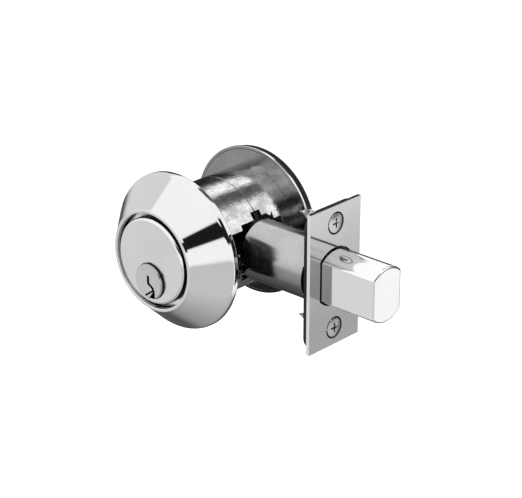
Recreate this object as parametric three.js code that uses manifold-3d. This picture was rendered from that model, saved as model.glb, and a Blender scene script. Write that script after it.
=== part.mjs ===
// Tubular deadbolt lock, in millimetres.
// Origin: where the cylinder axis (Y) crosses the bolt axis (X).  +Y runs from outside to inside through
// the door, +X towards the door's edge, +Z up.  The bolt is drawn thrown.
import * as THREE from 'three';
import { mergeVertices } from 'three/addons/utils/BufferGeometryUtils.js';
import Module from 'manifold-3d';

const wasm = await Module();
wasm.setup();

// ---- driving dimensions ----
const backset = 60.325; // cylinder axis to the faceplate's outer face
const outsideSeatY = -22.225; // collar's face on the door
const insideSeatY = 19.05; // mounting plate's face on the door
const collarRadius = 31.75;
const collarDepth = 15.85;
const lipRadius = 19.1; // inner edge of the collar's front lip
const faceRadius = 17.5; // cylinder's front disc
const roseRadius = 31.0;
const roseDepth = 8.4;
const sleeveRadius = 23.1;
const sleeveWall = 2.7;
const seamY = 0.65; // where the two sleeve halves meet
const plugRadius = 6.35;
const barrelInset = 0.8; // plug barrel to the neck's wall
const pinCount = 5;
const pinPitch = 3.96;
const pinRadius = 1.4;
const boltRadius = 11.1;
const boltFlat = 7.95; // half the bolt's thickness
const boltThrow = 25.4;
const tubeWall = 0.75;
const plateHalfWidth = 14.29;
const plateHalfHeight = 28.575;
const plateThick = 1.6;
const screwSpacing = 42.9; // faceplate screws
const turnHalfLength = 13.5;
const postRadius = 3.3; // bosses for the two long mounting screws
const upperPostAngle = 57; // degrees above the bolt's axis

// ---- clearances ----
const gap = 0.3; // between pieces that rest on one another
const runGap = 0.05; // plug in its bore
const slideGap = 0.35; // bolt in its tube and plate

// ---- sizes that follow ----
const faceY = outsideSeatY - collarDepth;
const plugFaceY = faceY - 1.5;
const shellBackY = -7.0;
const neckInner = faceRadius - 0.8;
const neckOuter = lipRadius - 0.5;
const neckFrontY = faceY + 3.5;
const webBackY = outsideSeatY + 1.8;
const sleeveInner = sleeveRadius - sleeveWall;
const crankRadius = boltThrow / (2 * Math.sin(Math.PI / 4));
const armX = boltThrow / 2;
const tubeInner = boltRadius + slideGap;
const tubeRadius = tubeInner + tubeWall;
const backPlateX = backset - plateThick - gap - 1.45;
const tubeSeatDepth = 0.75; // the tube's front end stands in a round recess in the back plate
const tubeFrontX = backPlateX + tubeSeatDepth - gap;
const tubeRearX = sleeveRadius - 0.5; // the tube's rear end stands in the sleeve's window
const capThick = 1.5;
const barrelRadius = plugRadius + runGap + 1.5;
const plugZ = barrelInset + barrelRadius - neckInner; // plug, cam and turn share this lower axis
const roseFaceY = insideSeatY + roseDepth;

// ---- finishes ----
const chrome = { color: 0xd6d7d9, roughness: 0.1, metalness: 1 };
const casting = { color: 0x9a9c9e, roughness: 0.45, metalness: 1 };
const steel = { color: 0xa9acaf, roughness: 0.35, metalness: 1 };
const hardSteel = { color: 0x77797c, roughness: 0.4, metalness: 1 };
const brass = { color: 0xc9a455, roughness: 0.3, metalness: 1 };
const nylon = { color: 0xe4e2da, roughness: 0.6, metalness: 0 };

const root = new THREE.Group();
root.name = 'deadbolt';

// ---- helpers ----
function toSolid(geometry) {
  const g = geometry.index ? geometry.toNonIndexed() : geometry.clone();
  g.deleteAttribute('normal');
  g.deleteAttribute('uv');
  const m = mergeVertices(g, 1e-5);
  return new wasm.Manifold(new wasm.Mesh({
    numProp: 3,
    vertProperties: new Float32Array(m.attributes.position.array),
    triVerts: new Uint32Array(m.index.array),
  }));
}

function fromSolid(solid) {
  const mesh = solid.getMesh();
  const g = new THREE.BufferGeometry();
  g.setAttribute('position', new THREE.BufferAttribute(new Float32Array(mesh.vertProperties), 3));
  g.setIndex(new THREE.BufferAttribute(new Uint32Array(mesh.triVerts), 1));
  const flat = g.toNonIndexed();
  flat.computeVertexNormals();
  return flat;
}

function add(name, shape, finish) {
  const geometry = shape.isBufferGeometry ? shape : fromSolid(shape);
  const mesh = new THREE.Mesh(geometry, new THREE.MeshStandardMaterial(finish));
  mesh.name = name;
  root.add(mesh);
  return mesh;
}

// Turned solid about the Y axis from [radius, y] points, run so that it faces out.
function turned(points, segments = 48) {
  const closed = points[0][0] > 0;
  const list = closed ? [...points, points[0]] : points;
  let area = 0;
  for (let i = 0; i < points.length; i++) {
    const a = points[i];
    const b = points[(i + 1) % points.length];
    area += a[0] * b[1] - b[0] * a[1];
  }
  const run = area > 0 ? list : [...list].reverse();
  return new THREE.LatheGeometry(run.map(([r, y]) => new THREE.Vector2(r, y)), segments);
}

function rod(radius, y0, y1, segments = 24) {
  return turned([[0, y0], [radius, y0], [radius, y1], [0, y1]], segments);
}

// A Y-axis shape laid along X, or stood along Z.
const alongX = (geometry) => geometry.rotateZ(-Math.PI / 2);
const alongZ = (geometry) => geometry.rotateX(Math.PI / 2);

function outline(points) {
  return new THREE.Shape(points.map(([a, b]) => new THREE.Vector2(a, b)));
}

// Flat outline in (x, z) carried from y0 to y1.
function slabY(points, y0, y1) {
  const g = new THREE.ExtrudeGeometry(outline(points), { depth: y1 - y0, bevelEnabled: false });
  return g.rotateX(Math.PI / 2).translate(0, y1, 0);
}

// Flat outline in (y, z) carried from x0 to x1.
function slabX(points, x0, x1) {
  const g = new THREE.ExtrudeGeometry(outline(points), { depth: x1 - x0, bevelEnabled: false });
  const m = new THREE.Matrix4().makeBasis(
    new THREE.Vector3(0, 1, 0), new THREE.Vector3(0, 0, 1), new THREE.Vector3(1, 0, 0));
  return g.applyMatrix4(m).translate(x0, 0, 0);
}

function block(x0, x1, y0, y1, z0, z1) {
  const g = new THREE.BoxGeometry(x1 - x0, y1 - y0, z1 - z0);
  return g.translate((x0 + x1) / 2, (y0 + y1) / 2, (z0 + z1) / 2);
}

// Points of an arc, angles in degrees.
function arc(cx, cy, radius, from, to, count) {
  return Array.from({ length: count + 1 }, (_, i) => {
    const a = ((from + ((to - from) * i) / count) * Math.PI) / 180;
    return [cx + radius * Math.cos(a), cy + radius * Math.sin(a)];
  });
}

function union(shapes) {
  return shapes.map(toSolid).reduce((a, b) => a.add(b));
}

function cut(body, tools) {
  const start = body.isBufferGeometry ? toSolid(body) : body;
  return tools.reduce((a, tool) => a.subtract(toSolid(tool)), start);
}

function ring(inner, outer, y0, y1, segments = 32) {
  return turned([[inner, y0], [outer, y0], [outer, y1], [inner, y1]], segments);
}

// ---- outside: collar ----
function makeCollar() {
  const seat = outsideSeatY;
  const lipY = faceY;
  const r = collarRadius;
  const profile = [
    [r - 3.35, seat], [r - 0.55, seat], [r - 0.15, seat - 0.45], [r, seat - 1.2], [r - 0.1, seat - 2.1],
    [r - 0.5, seat - 3.0], [r - 1.3, seat - 4.0],
    [lipRadius + 2.25, lipY + 1.8], [lipRadius + 1.95, lipY + 1.5], [lipRadius + 1.55, lipY + 1.05],
    [lipRadius + 1.1, lipY + 0.7], [lipRadius + 0.7, lipY + 0.6], [lipRadius + 0.35, lipY + 0.75],
    [lipRadius + 0.05, lipY + 1.15], [lipRadius, lipY + 1.8],
    [lipRadius, lipY + 2.8], [lipRadius + 1.5, lipY + 2.8], [lipRadius + 1.5, lipY + 3.7],
    [r - 3.35, seat - 3.2],
  ];
  add('collar', turned(profile, 48), chrome);
  const front = neckFrontY + 1.4;
  const slope = (r - 3.35 - lipRadius - 1.5) / (seat - 3.2 - lipY - 3.7);
  const frontR = lipRadius + 1.5 + slope * (front - lipY - 3.7) - 0.45;
  add('collar_insert', turned([
    [neckOuter + 0.4, front], [frontR, front], [r - 3.85, seat - 3.3], [r - 3.85, seat - 2.7],
    [neckOuter + 0.4, seat - 2.7],
  ]), hardSteel);
  add('collar_spring', turned([
    [neckOuter + 0.7, seat - 2.35], [sleeveRadius - 0.3, seat - 1.8], [sleeveRadius - 0.3, seat - 1.5],
    [neckOuter + 0.7, seat - 2.05],
  ], 36), steel);
}

// ---- outside: cylinder ----
const shellBossX = 12.3;
const pinY = (i) => faceY + 5.1 + i * pinPitch;
const towerTop = 12.0;

// Barrel round the plug with the pin tower over it, grown by `extra`.
function barrelOutline(extra) {
  const half = 3.6 + extra;
  const radius = barrelRadius + extra;
  const join = (Math.asin(half / radius) * 180) / Math.PI;
  return [
    ...arc(0, plugZ, radius, 90 + join, 450 - join, 32),
    [half, towerTop + extra], [-half, towerTop + extra],
  ];
}

function makeShell() {
  const flange = turned([
    [0, faceY], [faceRadius - 1.1, faceY], [faceRadius - 0.5, faceY + 0.15], [faceRadius - 0.1, faceY + 0.5],
    [faceRadius, faceY + 1.0], [faceRadius, faceY + 3.2], [0, faceY + 3.2],
  ], 48);
  const bosses = [-1, 1].map((s) => rod(2.6, faceY + 2, outsideSeatY - 1.5, 20).translate(s * shellBossX, 0, 0));
  const body = union([flange, slabY(barrelOutline(0), faceY + 2, shellBackY), ...bosses]);
  const tools = [
    rod(plugRadius + runGap, faceY - 1, shellBackY + 1, 36).translate(0, 0, plugZ),
    rod(plugRadius + 1.0, faceY - 1, faceY + 1.5, 36).translate(0, 0, plugZ),
    block(-2.0, 2.0, pinY(0) - 2.2, pinY(pinCount - 1) + 2.2, towerTop - 1.25, towerTop + 1),
    ...[-1, 1].map((s) => rod(1.45, faceY + 4, outsideSeatY, 16).translate(s * shellBossX, 0, 0)),
  ];
  for (let i = 0; i < pinCount; i++) {
    tools.push(alongZ(rod(pinRadius + 0.1, plugZ, towerTop, 16)).translate(0, pinY(i), 0));
  }
  add('cylinder_shell', cut(body, tools), chrome);
}

// Keyway in (x, z) from the plug's axis, open at the plug's underside.
const keyway = [
  [-1.05, 2.7], [0.15, 2.7], [0.15, -0.2], [1.0, -0.75], [2.35, -1.35], [2.9, -2.1], [2.9, -3.0],
  [1.7, -3.7], [2.3, -4.6], [2.6, -7.2], [0.2, -7.2], [0.0, -5.0], [-1.7, -4.7], [-1.7, -4.0],
  [0.2, -3.6], [0.5, -2.6], [1.0, -2.0], [-0.3, -1.2], [-1.05, -0.4],
];

function makePlug() {
  const neckY = shellBackY + 0.05;
  const endY = neckY + 1.35;
  const body = turned([
    [0, plugFaceY], [plugRadius + 0.55, plugFaceY], [plugRadius + 0.85, plugFaceY + 0.3],
    [plugRadius + 0.85, faceY + 1.2], [plugRadius, faceY + 1.2], [plugRadius, neckY], [4.2, neckY],
    [4.2, endY], [0, endY],
  ], 36);
  const lug = slabY([...arc(0, 0, 4.1, 123, 147, 4), ...arc(0, 0, 2.0, 147, 123, 3)], endY - 0.5, endY + 0.6);
  const tools = [slabY(keyway, plugFaceY - 1, neckY - 1.2)];
  for (let i = 0; i < pinCount; i++) {
    tools.push(alongZ(rod(pinRadius + 0.1, -2.0, plugRadius + 1, 16)).translate(0, pinY(i), 0));
  }
  add('plug', cut(union([body, lug]), tools).translate(0, 0, plugZ), chrome);
  add('plug_retainer', ring(4.3, barrelRadius - 0.5, neckY + gap, neckY + 1.1, 28).translate(0, 0, plugZ), steel);
}

class Coil extends THREE.Curve {
  constructor(radius, length, turns) {
    super();
    Object.assign(this, { radius, length, turns });
  }

  getPoint(t, target = new THREE.Vector3()) {
    const a = t * this.turns * 2 * Math.PI;
    return target.set(this.radius * Math.cos(a), this.radius * Math.sin(a), t * this.length);
  }

  getLength() {
    return this.turns * 2 * Math.PI * this.radius;
  }
}

function makePins() {
  const shear = plugZ + plugRadius;
  const cutDepth = [2.6, 1.4, 3.1, 0.9, 2.0];
  const driverTop = shear + 4.1;
  for (let i = 0; i < pinCount; i++) {
    const foot = plugZ + 0.6 + cutDepth[i] * 0.5;
    const key = turned([[0, foot], [0.5, foot], [pinRadius, foot + 0.9], [pinRadius, shear - 0.25],
      [0, shear - 0.25]], 14);
    add(`key_pin_${i + 1}`, alongZ(key).translate(0, pinY(i), 0), brass);
    const driver = turned([[0, shear + 0.1], [pinRadius, shear + 0.1], [pinRadius, driverTop - 0.5],
      [0.9, driverTop], [0, driverTop]], 14);
    add(`driver_pin_${i + 1}`, alongZ(driver).translate(0, pinY(i), 0), steel);
    const wire = new THREE.ExtrudeGeometry(outline(arc(0, 0, 0.2, 0, 270, 3)), {
      steps: 40, bevelEnabled: false, extrudePath: new Coil(1.0, towerTop - 2.1 - driverTop, 4),
    });
    add(`pin_spring_${i + 1}`, wire.translate(0, pinY(i), driverTop + 0.5), steel);
  }
  add('chamber_cover', block(-1.7, 1.7, pinY(0) - 1.9, pinY(pinCount - 1) + 1.9, towerTop - 0.95,
    towerTop - 0.05), brass);
}

// ---- sleeve halves ----
// Stepped window for the bolt tube, as [y, half height] corners either side of the seam.
const windowEnd = tubeInner - 1.65; // half heights of the steps round the tube, tied to its bore
const windowMid = tubeInner + 2.9;
const windowOut = [[-tubeRadius - 4.7, windowEnd], [-8.7, windowEnd], [-8.7, tubeInner + 0.25],
  [-1.6, tubeInner + 0.25], [-1.6, windowMid], [seamY + 2, windowMid]];
const windowIn = [[seamY - 2, windowMid], [3.4, windowMid], [3.4, tubeInner + 0.95], [6.0, tubeInner + 0.95],
  [7.6, tubeInner - 0.45], [9.0, tubeInner + 1.05], [9.0, windowEnd], [tubeRadius + 0.6, windowEnd]];

function windowTool(steps) {
  const upper = steps;
  const lower = [...steps].reverse().map(([y, z]) => [y, -z]);
  return slabX([...upper, ...lower], 13, sleeveRadius + 4);
}

const rearWindow = (y0, y1) => block(-sleeveRadius - 2, -12, y0, y1, -12.6, 12.6);

// Screw bosses ride on the sleeve's inner wall: the upper one at its own angle, the lower one as far round
// as the plug's barrel lets it.
function postPlace(s) {
  const reach = sleeveInner - postRadius + 0.32;
  const clear = barrelRadius + postRadius + gap + 0.06;
  const sine = (reach ** 2 + plugZ ** 2 - clear ** 2) / (2 * reach * Math.abs(plugZ));
  const upper = (upperPostAngle * Math.PI) / 180;
  const angle = s > 0 ? upper : Math.asin(Math.min(sine, 1));
  return [s * reach * Math.cos(angle), s * reach * Math.sin(angle)];
}

function postAt(s, shape) {
  const [x, z] = postPlace(s);
  return shape.translate(x, 0, z);
}

function makeOuterHousing() {
  const profile = [
    [neckInner, neckFrontY], [lipRadius + 1.2, neckFrontY], [lipRadius + 1.2, neckFrontY + 1],
    [neckOuter, neckFrontY + 1], [neckOuter, outsideSeatY - 1.2], [sleeveRadius, outsideSeatY - 1.2],
    [sleeveRadius, seamY - 0.2], [sleeveInner, seamY - 0.2], [sleeveInner, webBackY], [6.0, webBackY],
    [6.0, outsideSeatY - 1.2], [neckInner, outsideSeatY - 1.2],
  ];
  const posts = [-1, 1].map((s) => postAt(s, rod(postRadius, webBackY - 1, -4.2, 20)));
  const body = union([turned(profile, 48), ...posts]);
  add('outer_housing', cut(body, [
    slabY(barrelOutline(gap), outsideSeatY - 3, webBackY + 1),
    windowTool(windowOut),
    rearWindow(-3.7, seamY + 1),
    ...[-1, 1].map((s) => postAt(s, rod(2.1, -17, 0, 16))),
    ...[-1, 1].map((s) => rod(1.8, outsideSeatY - 2, webBackY + 1, 16).translate(s * shellBossX, 0, 0)),
  ]), casting);
  for (const s of [-1, 1]) {
    const y = webBackY + gap;
    const screw = turned([[0, outsideSeatY - 9], [1.3, outsideSeatY - 8.4], [1.3, y], [2.6, y],
      [2.6, y + 0.9], [1.9, y + 1.6], [0, y + 1.6]], 18).translate(s * shellBossX, 0, 0);
    const slot = block(s * shellBossX - 3, s * shellBossX + 3, y + 0.9, y + 3, -0.35, 0.35);
    add(s < 0 ? 'cylinder_screw_left' : 'cylinder_screw_right', cut(screw, [slot]), steel);
  }
}

function makeInnerHousing() {
  const endY = insideSeatY - gap;
  const webY = endY - 3.1;
  const profile = [
    [0, webY], [sleeveInner, webY], [sleeveInner, seamY + 0.2], [sleeveRadius, seamY + 0.2],
    [sleeveRadius, endY], [0, endY],
  ];
  const posts = [-1, 1].map((s) => postAt(s, rod(postRadius, 5.0, webY + 1, 20)));
  const body = union([turned(profile, 48), ...posts]);
  add('inner_housing', cut(body, [
    windowTool(windowIn),
    rearWindow(seamY - 1, 3.7),
    ...[-1, 1].map((s) => postAt(s, rod(2.2, 0, endY + 1, 16))),
    rod(5.3, webY - 1, endY + 1, 28).translate(0, 0, plugZ),
  ]), casting);
  const plate = turned([
    [0, insideSeatY], [roseRadius - 1.8, insideSeatY], [roseRadius - 1.5, insideSeatY + 0.3],
    [roseRadius - 1.5, insideSeatY + 1.6], [0, insideSeatY + 1.6],
  ], 48);
  add('mounting_plate', cut(plate, [
    ...[-1, 1].map((s) => postAt(s, rod(2.2, insideSeatY - 1, insideSeatY + 3, 16))),
    rod(5.6, insideSeatY - 1, insideSeatY + 3, 28).translate(0, 0, plugZ),
  ]), chrome);
  for (const s of [-1, 1]) {
    const y = insideSeatY + 1.6 + gap;
    const screw = postAt(s, turned([[0, -15.2], [1.9, -14], [1.9, y], [3.6, y], [3.6, y + 0.6], [2.6, y + 1.9],
      [0, y + 1.9]], 18));
    const cross = [
      postAt(s, block(-1.9, 1.9, y + 0.5, y + 3, -0.4, 0.4)),
      postAt(s, block(-0.4, 0.4, y + 0.5, y + 3, -1.9, 1.9)),
    ];
    add(s < 0 ? 'mounting_screw_lower' : 'mounting_screw_upper', cut(screw, cross), steel);
  }
}

// ---- inside: rose and thumbturn ----
function makeRose() {
  const r = roseRadius;
  const y = insideSeatY;
  const rose = turned([
    [r - 1.2, y], [r - 0.35, y], [r, y + 0.35], [r, y + 0.8], [r - 0.7, y + 4.2], [r - 1.4, y + 5.1],
    [r - 2.8, y + 5.8], [r - 9.2, roseFaceY - 0.4], [r - 10.0, roseFaceY - 0.1], [r - 10.8, roseFaceY],
    [0, roseFaceY], [0, roseFaceY - 1.3], [r - 10.9, roseFaceY - 1.3], [r - 3.1, y + 4.5], [r - 2.1, y + 3.8],
    [r - 1.2, y + 1.9],
  ], 48);
  add('inside_rose', cut(rose, [rod(6.2, roseFaceY - 4, roseFaceY + 2, 28).translate(0, 0, plugZ)]), chrome);
}

const spindleRadius = 5.0;

function makeTurn() {
  const hubY = roseFaceY + 1.3;
  const tipY = roseFaceY + 14.2;
  const socket = block(-2.95, 2.95, 4, 16.6, -1.15, 1.15);
  const spindle = turned([[0, 5.2], [spindleRadius, 5.2], [spindleRadius, hubY - gap], [3.2, hubY - gap],
    [3.2, hubY + 8], [0, hubY + 8]], 28);
  add('turn_spindle', cut(spindle, [socket]).translate(0, 0, plugZ), steel);
  add('spindle_clip', ring(spindleRadius + 0.15, 7.6, 14.4, 15.2, 28).translate(0, 0, plugZ), steel);
  add('turn_washer', ring(5.4, 8.4, roseFaceY + gap, hubY - gap, 28).translate(0, 0, plugZ), nylon);
  const hub = turned([[0, hubY], [9.0, hubY], [9.2, hubY + 0.4], [8.6, hubY + 1.4], [6.0, hubY + 2.6],
    [5.6, hubY + 4.6], [4.4, hubY + 6.5], [0, hubY + 6.5]], 32);
  const l = turnHalfLength;
  const blade = slabY([
    ...arc(l - 4.2, 0, 4.2, -90, 90, 8), [0, 3.3], ...arc(-l + 4.2, 0, 4.2, 90, 270, 8), [0, -3.3],
  ], hubY + 3.2, tipY);
  const soft = turned([[0, hubY], [l + 4, hubY], [l + 1.2, hubY + 6.0], [l, hubY + 9.2], [l - 1.6, tipY - 0.9],
    [l - 4.0, tipY - 0.25], [0, tipY]], 32);
  const body = union([hub, blade]).intersect(toSolid(soft));
  add('thumbturn', cut(body, [
    rod(3.5, hubY - 1, hubY + 8.3, 20),
    alongZ(rod(1.35, -8, -2, 14)).translate(0, hubY + 3.9, 0),
  ]).translate(0, 0, plugZ), chrome);
  const setScrew = alongZ(rod(1.2, -5.4, -3.35, 14)).translate(0, hubY + 3.9, plugZ);
  add('turn_set_screw', setScrew, hardSteel);
  const dog = slabY([...arc(0, 0, 4.1, 258, 282, 4), ...arc(0, 0, 2.0, 282, 258, 3)], -5.3, -4.2);
  const bar = [rod(4.6, -4.7, -3.8, 24), block(-2.8, 2.8, -4.2, 16.0, -1.0, 1.0), dog];
  add('tailpiece', union(bar).translate(0, 0, plugZ), steel);
}

// ---- bolt mechanism ----
const caseInner = 2.5;
const caseWall = 0.8;
const tailLow = 4.1;
const tailHigh = tubeInner - 0.55;
const caseHigh = tubeInner - 1.15; // case sides where they enter the tube
const caseEndX = tubeRearX + gap + capThick;
const tipRadius = 3.0;
const slotHalf = tipRadius + 0.75;
const bolt0 = tubeRearX + gap + capThick + 0.5 + boltThrow; // rear of the bolt, thrown

function makeCase() {
  const tube = turned([[tubeInner, tubeRearX], [tubeRadius, tubeRearX], [tubeRadius, tubeFrontX],
    [tubeInner, tubeFrontX]], 48);
  const crescent = block(backPlateX - 3.0, backPlateX - 1.2, -tubeRadius - 2, -tubeInner + 2.45, -5.5, 5.5);
  add('bolt_tube', cut(alongX(tube), [crescent]), steel);
  const cap = alongX(rod(tubeInner - 0.15, tubeRearX + gap, tubeRearX + gap + capThick, 36));
  const capSlot = block(tubeRearX - 1, tubeRearX + 3, -caseInner - caseWall - gap, caseInner + caseWall + gap,
    -4.3, tubeRadius);
  add('tube_end_cap', cut(cap, [capSlot]), steel);
  const side = [[-16, 12.3], [-16, -3], [-6, -12.3], [6, -12.3], [17, -9.8], [20, -4], [caseEndX, -4],
    [caseEndX, caseHigh], [18, caseHigh], [16, 12.3]];
  for (const s of [-1, 1]) {
    const y0 = s < 0 ? -caseInner - caseWall : caseInner;
    add(s < 0 ? 'case_side_out' : 'case_side_in', cut(slabY([...side].reverse(), y0, y0 + caseWall), [
      rod(3.65, y0 - 1, y0 + 2, 28).translate(0, 0, plugZ),
      ...[-13, 13].map((x) => rod(1.75, y0 - 1, y0 + 2, 14).translate(x, 0, -6)),
    ]), steel);
  }
  const headY = caseInner + caseWall + gap;
  for (const x of [-13, 13]) {
    const rivet = turned([[0, -headY - 0.6], [2.1, -headY - 0.6], [2.5, -headY], [1.6, -headY], [1.6, headY],
      [2.5, headY], [2.1, headY + 0.6], [0, headY + 0.6]], 14).translate(x, 0, -6);
    add(x < 0 ? 'case_rivet_rear' : 'case_rivet_front', rivet, steel);
  }
}

function makeCam() {
  const tip = [[-1.0, 3], [-1.0, crankRadius - 2.83], ...arc(0, crankRadius, tipRadius, 250.5, 135, 9),
    ...arc(0, crankRadius, tipRadius, 45, -70.5, 9), [1.0, crankRadius - 2.83], [1.0, 3]];
  const arm = slabY([...tip].reverse(), -0.8, 0.8).rotateY(Math.PI / 4);
  const hub = turned([[0, -3.4], [3.6, -3.4], [3.6, -2.2], [5.0, -2.2], [5.0, 2.2], [3.6, 2.2], [3.6, 3.4],
    [0, 3.4]], 28);
  add('cam', cut(union([hub, arm]), [block(-2.95, 2.95, -5, 5, -1.15, 1.15)]).translate(0, 0, plugZ), steel);
}

function boltSection(radius, flat, count) {
  const lift = (Math.acos(flat / radius) * 180) / Math.PI;
  return [...arc(0, 0, radius, lift, 180 - lift, count), ...arc(0, 0, radius, 180 + lift, 360 - lift, count)];
}

function makeBolt() {
  const x1 = backset + boltThrow;
  const body = slabX(boltSection(boltRadius, boltFlat, 14), bolt0, x1);
  const nose = alongX(turned([[0, bolt0 - 1], [boltRadius + 1, bolt0 - 1], [boltRadius + 1, x1 - 1.1],
    [boltRadius - 0.8, x1], [0, x1]], 48));
  add('bolt', cut(toSolid(body).intersect(toSolid(nose)), [
    block(bolt0 - 1, bolt0 + 8, -2.5, 2.5, tailLow - gap, 8.7),
    alongX(rod(3.15, bolt0 - 1, bolt0 + 26, 20)).translate(0, 0, -3.6),
    rod(1.35, -boltRadius, boltRadius, 14).translate(bolt0 + 4.5, 0, 6.3),
  ]), chrome);
  add('bolt_roller', alongX(rod(3.0, bolt0 + 1, bolt0 + 25, 20)).translate(0, 0, -3.6), hardSteel);
  add('bolt_pin', rod(1.2, -boltFlat + 0.6, boltFlat - 0.6, 14).translate(bolt0 + 4.5, 0, 6.3), steel);
  const tail = [[armX - slotHalf - 3, tailLow], [bolt0 + 7.5, tailLow], [bolt0 + 7.5, 8.4], [bolt0 - 2.5, 8.4],
    [bolt0 - 4, tailHigh], [armX - slotHalf - 2, tailHigh], [armX - slotHalf - 3, tailHigh - 2]];
  add('bolt_tail', cut(slabY([...tail].reverse(), -2.2, 2.2), [
    block(armX - slotHalf, armX + slotHalf, -1.05, 1.05, 0, 14),
    rod(1.35, -4, 4, 14).translate(bolt0 + 4.5, 0, 6.3),
  ]), steel);
}

function makePlates() {
  const backW = plateHalfWidth - 0.3;
  const backH = plateHalfHeight - 0.7;
  const c = 6;
  const corners = [[1, 1, 0], [-1, 1, 90], [-1, -1, 180], [1, -1, 270]];
  const back = corners.flatMap(([sy, sz, a]) => arc(sy * (backW - c), sz * (backH - c), c, a, a + 90, 6));
  const z = screwSpacing / 2;
  add('back_plate', cut(slabX(back, backPlateX, backPlateX + 1.45), [
    slabX(boltSection(boltRadius + slideGap, boltFlat + slideGap, 18), backPlateX - 1, backPlateX + 3),
    alongX(rod(tubeRadius + gap, backPlateX - 1, backPlateX + tubeSeatDepth, 48)),
    ...[-z, z].map((h) => alongX(rod(2.6, backPlateX - 1, backPlateX + 3, 20)).translate(0, 0, h)),
  ]), steel);
  const w = plateHalfWidth;
  const h = plateHalfHeight;
  const x0 = backset - plateThick;
  const plate = slabX([[w, -h], [w, h], [-w, h], [-w, -h]], x0, backset);
  const sink = turned([[0, x0 - 1], [2.6, x0 - 1], [2.6, x0], [4.9, backset], [4.9, backset + 1],
    [0, backset + 1]], 28);
  add('face_plate', cut(plate, [
    slabX(boltSection(boltRadius + slideGap + 0.3, boltFlat + slideGap, 18), x0 - 1, backset + 1),
    ...[-z, z].map((s) => alongX(sink.clone()).translate(0, 0, s)),
  ]), chrome);
  for (const s of [-1, 1]) {
    const head = backset - 0.05;
    const screw = alongX(turned([[0, backset - 17.6], [1.9, backset - 14.6], [1.9, head - 2.0],
      [3.9, head - 0.15], [3.75, head], [0, head]], 24)).translate(0, 0, s * z);
    const cross = [
      block(head - 1.3, head + 1, -2.3, 2.3, s * z - 0.45, s * z + 0.45),
      block(head - 1.3, head + 1, -0.45, 0.45, s * z - 2.3, s * z + 2.3),
    ];
    add(s < 0 ? 'face_screw_lower' : 'face_screw_upper', cut(screw, cross), steel);
  }
}

makeCollar();
makeShell();
makePlug();
makePins();
makeOuterHousing();
makeInnerHousing();
makeRose();
makeTurn();
makeCase();
makeCam();
makeBolt();
makePlates();

export default root;
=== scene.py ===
import bpy, bmesh, math
from mathutils import Vector, Matrix


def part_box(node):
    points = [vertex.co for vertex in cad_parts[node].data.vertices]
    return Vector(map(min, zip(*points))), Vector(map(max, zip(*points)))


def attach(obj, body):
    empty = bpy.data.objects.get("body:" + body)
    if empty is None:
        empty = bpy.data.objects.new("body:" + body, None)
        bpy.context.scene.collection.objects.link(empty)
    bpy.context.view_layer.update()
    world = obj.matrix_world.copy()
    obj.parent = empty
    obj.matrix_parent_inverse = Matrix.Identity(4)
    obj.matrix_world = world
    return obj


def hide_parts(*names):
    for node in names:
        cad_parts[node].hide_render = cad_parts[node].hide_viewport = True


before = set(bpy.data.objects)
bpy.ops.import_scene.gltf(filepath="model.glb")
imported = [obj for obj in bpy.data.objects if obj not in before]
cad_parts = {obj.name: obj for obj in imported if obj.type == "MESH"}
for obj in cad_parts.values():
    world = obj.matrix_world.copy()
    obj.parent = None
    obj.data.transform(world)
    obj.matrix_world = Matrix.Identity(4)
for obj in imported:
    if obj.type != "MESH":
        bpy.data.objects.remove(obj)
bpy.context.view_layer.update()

mm = 0.001
studio = bpy.context.scene
studio.view_settings.view_transform = "Standard"
print("frame loaded")


# helpers that make and finish meshes
arcSizes = {"stepDegrees": 9, "longestCut": 0.49}


def cornerArc(points, closed=True):
    # (r, y, fillet) corners to an outline with real fillets, each within half of the shorter side beside it
    out = []
    count = len(points)
    for i, (r, y, fillet) in enumerate(points):
        here = Vector((r, y))
        atEnd = not closed and i in (0, count - 1)
        if fillet <= 0 or atEnd:
            out.append((r, y))
            continue
        before = Vector(points[i - 1][:2]) - here
        after = Vector(points[(i + 1) % count][:2]) - here
        turn = before.angle(after)
        most = min(before.length, after.length) * arcSizes["longestCut"]
        back = min(fillet / math.tan(turn / 2), most)
        radius = back * math.tan(turn / 2)
        inwards = (before.normalized() + after.normalized()).normalized()
        middle = here + inwards * radius / math.sin(turn / 2)
        start = here + before.normalized() * back - middle
        end = here + after.normalized() * back - middle
        sweep = start.angle_signed(end)
        steps = max(2, int(abs(sweep) / math.radians(arcSizes["stepDegrees"])) + 1)
        for k in range(steps + 1):
            turned = Matrix.Rotation(-sweep * k / steps, 2) @ start
            out.append((middle.x + turned.x, middle.y + turned.y))
    return out


def newMesh(name, verts, faces):
    data = bpy.data.meshes.new(name)
    data.from_pydata(verts, [], faces)
    data.validate()
    obj = bpy.data.objects.new(name, data)
    studio.collection.objects.link(obj)
    return obj


def tidyNormals(obj, merge=1e-7, sharp=32):
    bm = bmesh.new()
    bm.from_mesh(obj.data)
    bmesh.ops.remove_doubles(bm, verts=bm.verts, dist=merge)
    bmesh.ops.dissolve_degenerate(bm, edges=bm.edges, dist=1e-8)
    bmesh.ops.recalc_face_normals(bm, faces=bm.faces)
    for face in bm.faces:
        face.smooth = True
    for edge in bm.edges:
        edge.smooth = not (len(edge.link_faces) == 2 and edge.calc_face_angle(0) > math.radians(sharp))
    bm.to_mesh(obj.data)
    bm.free()
    obj.data.update()
    return obj


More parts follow.
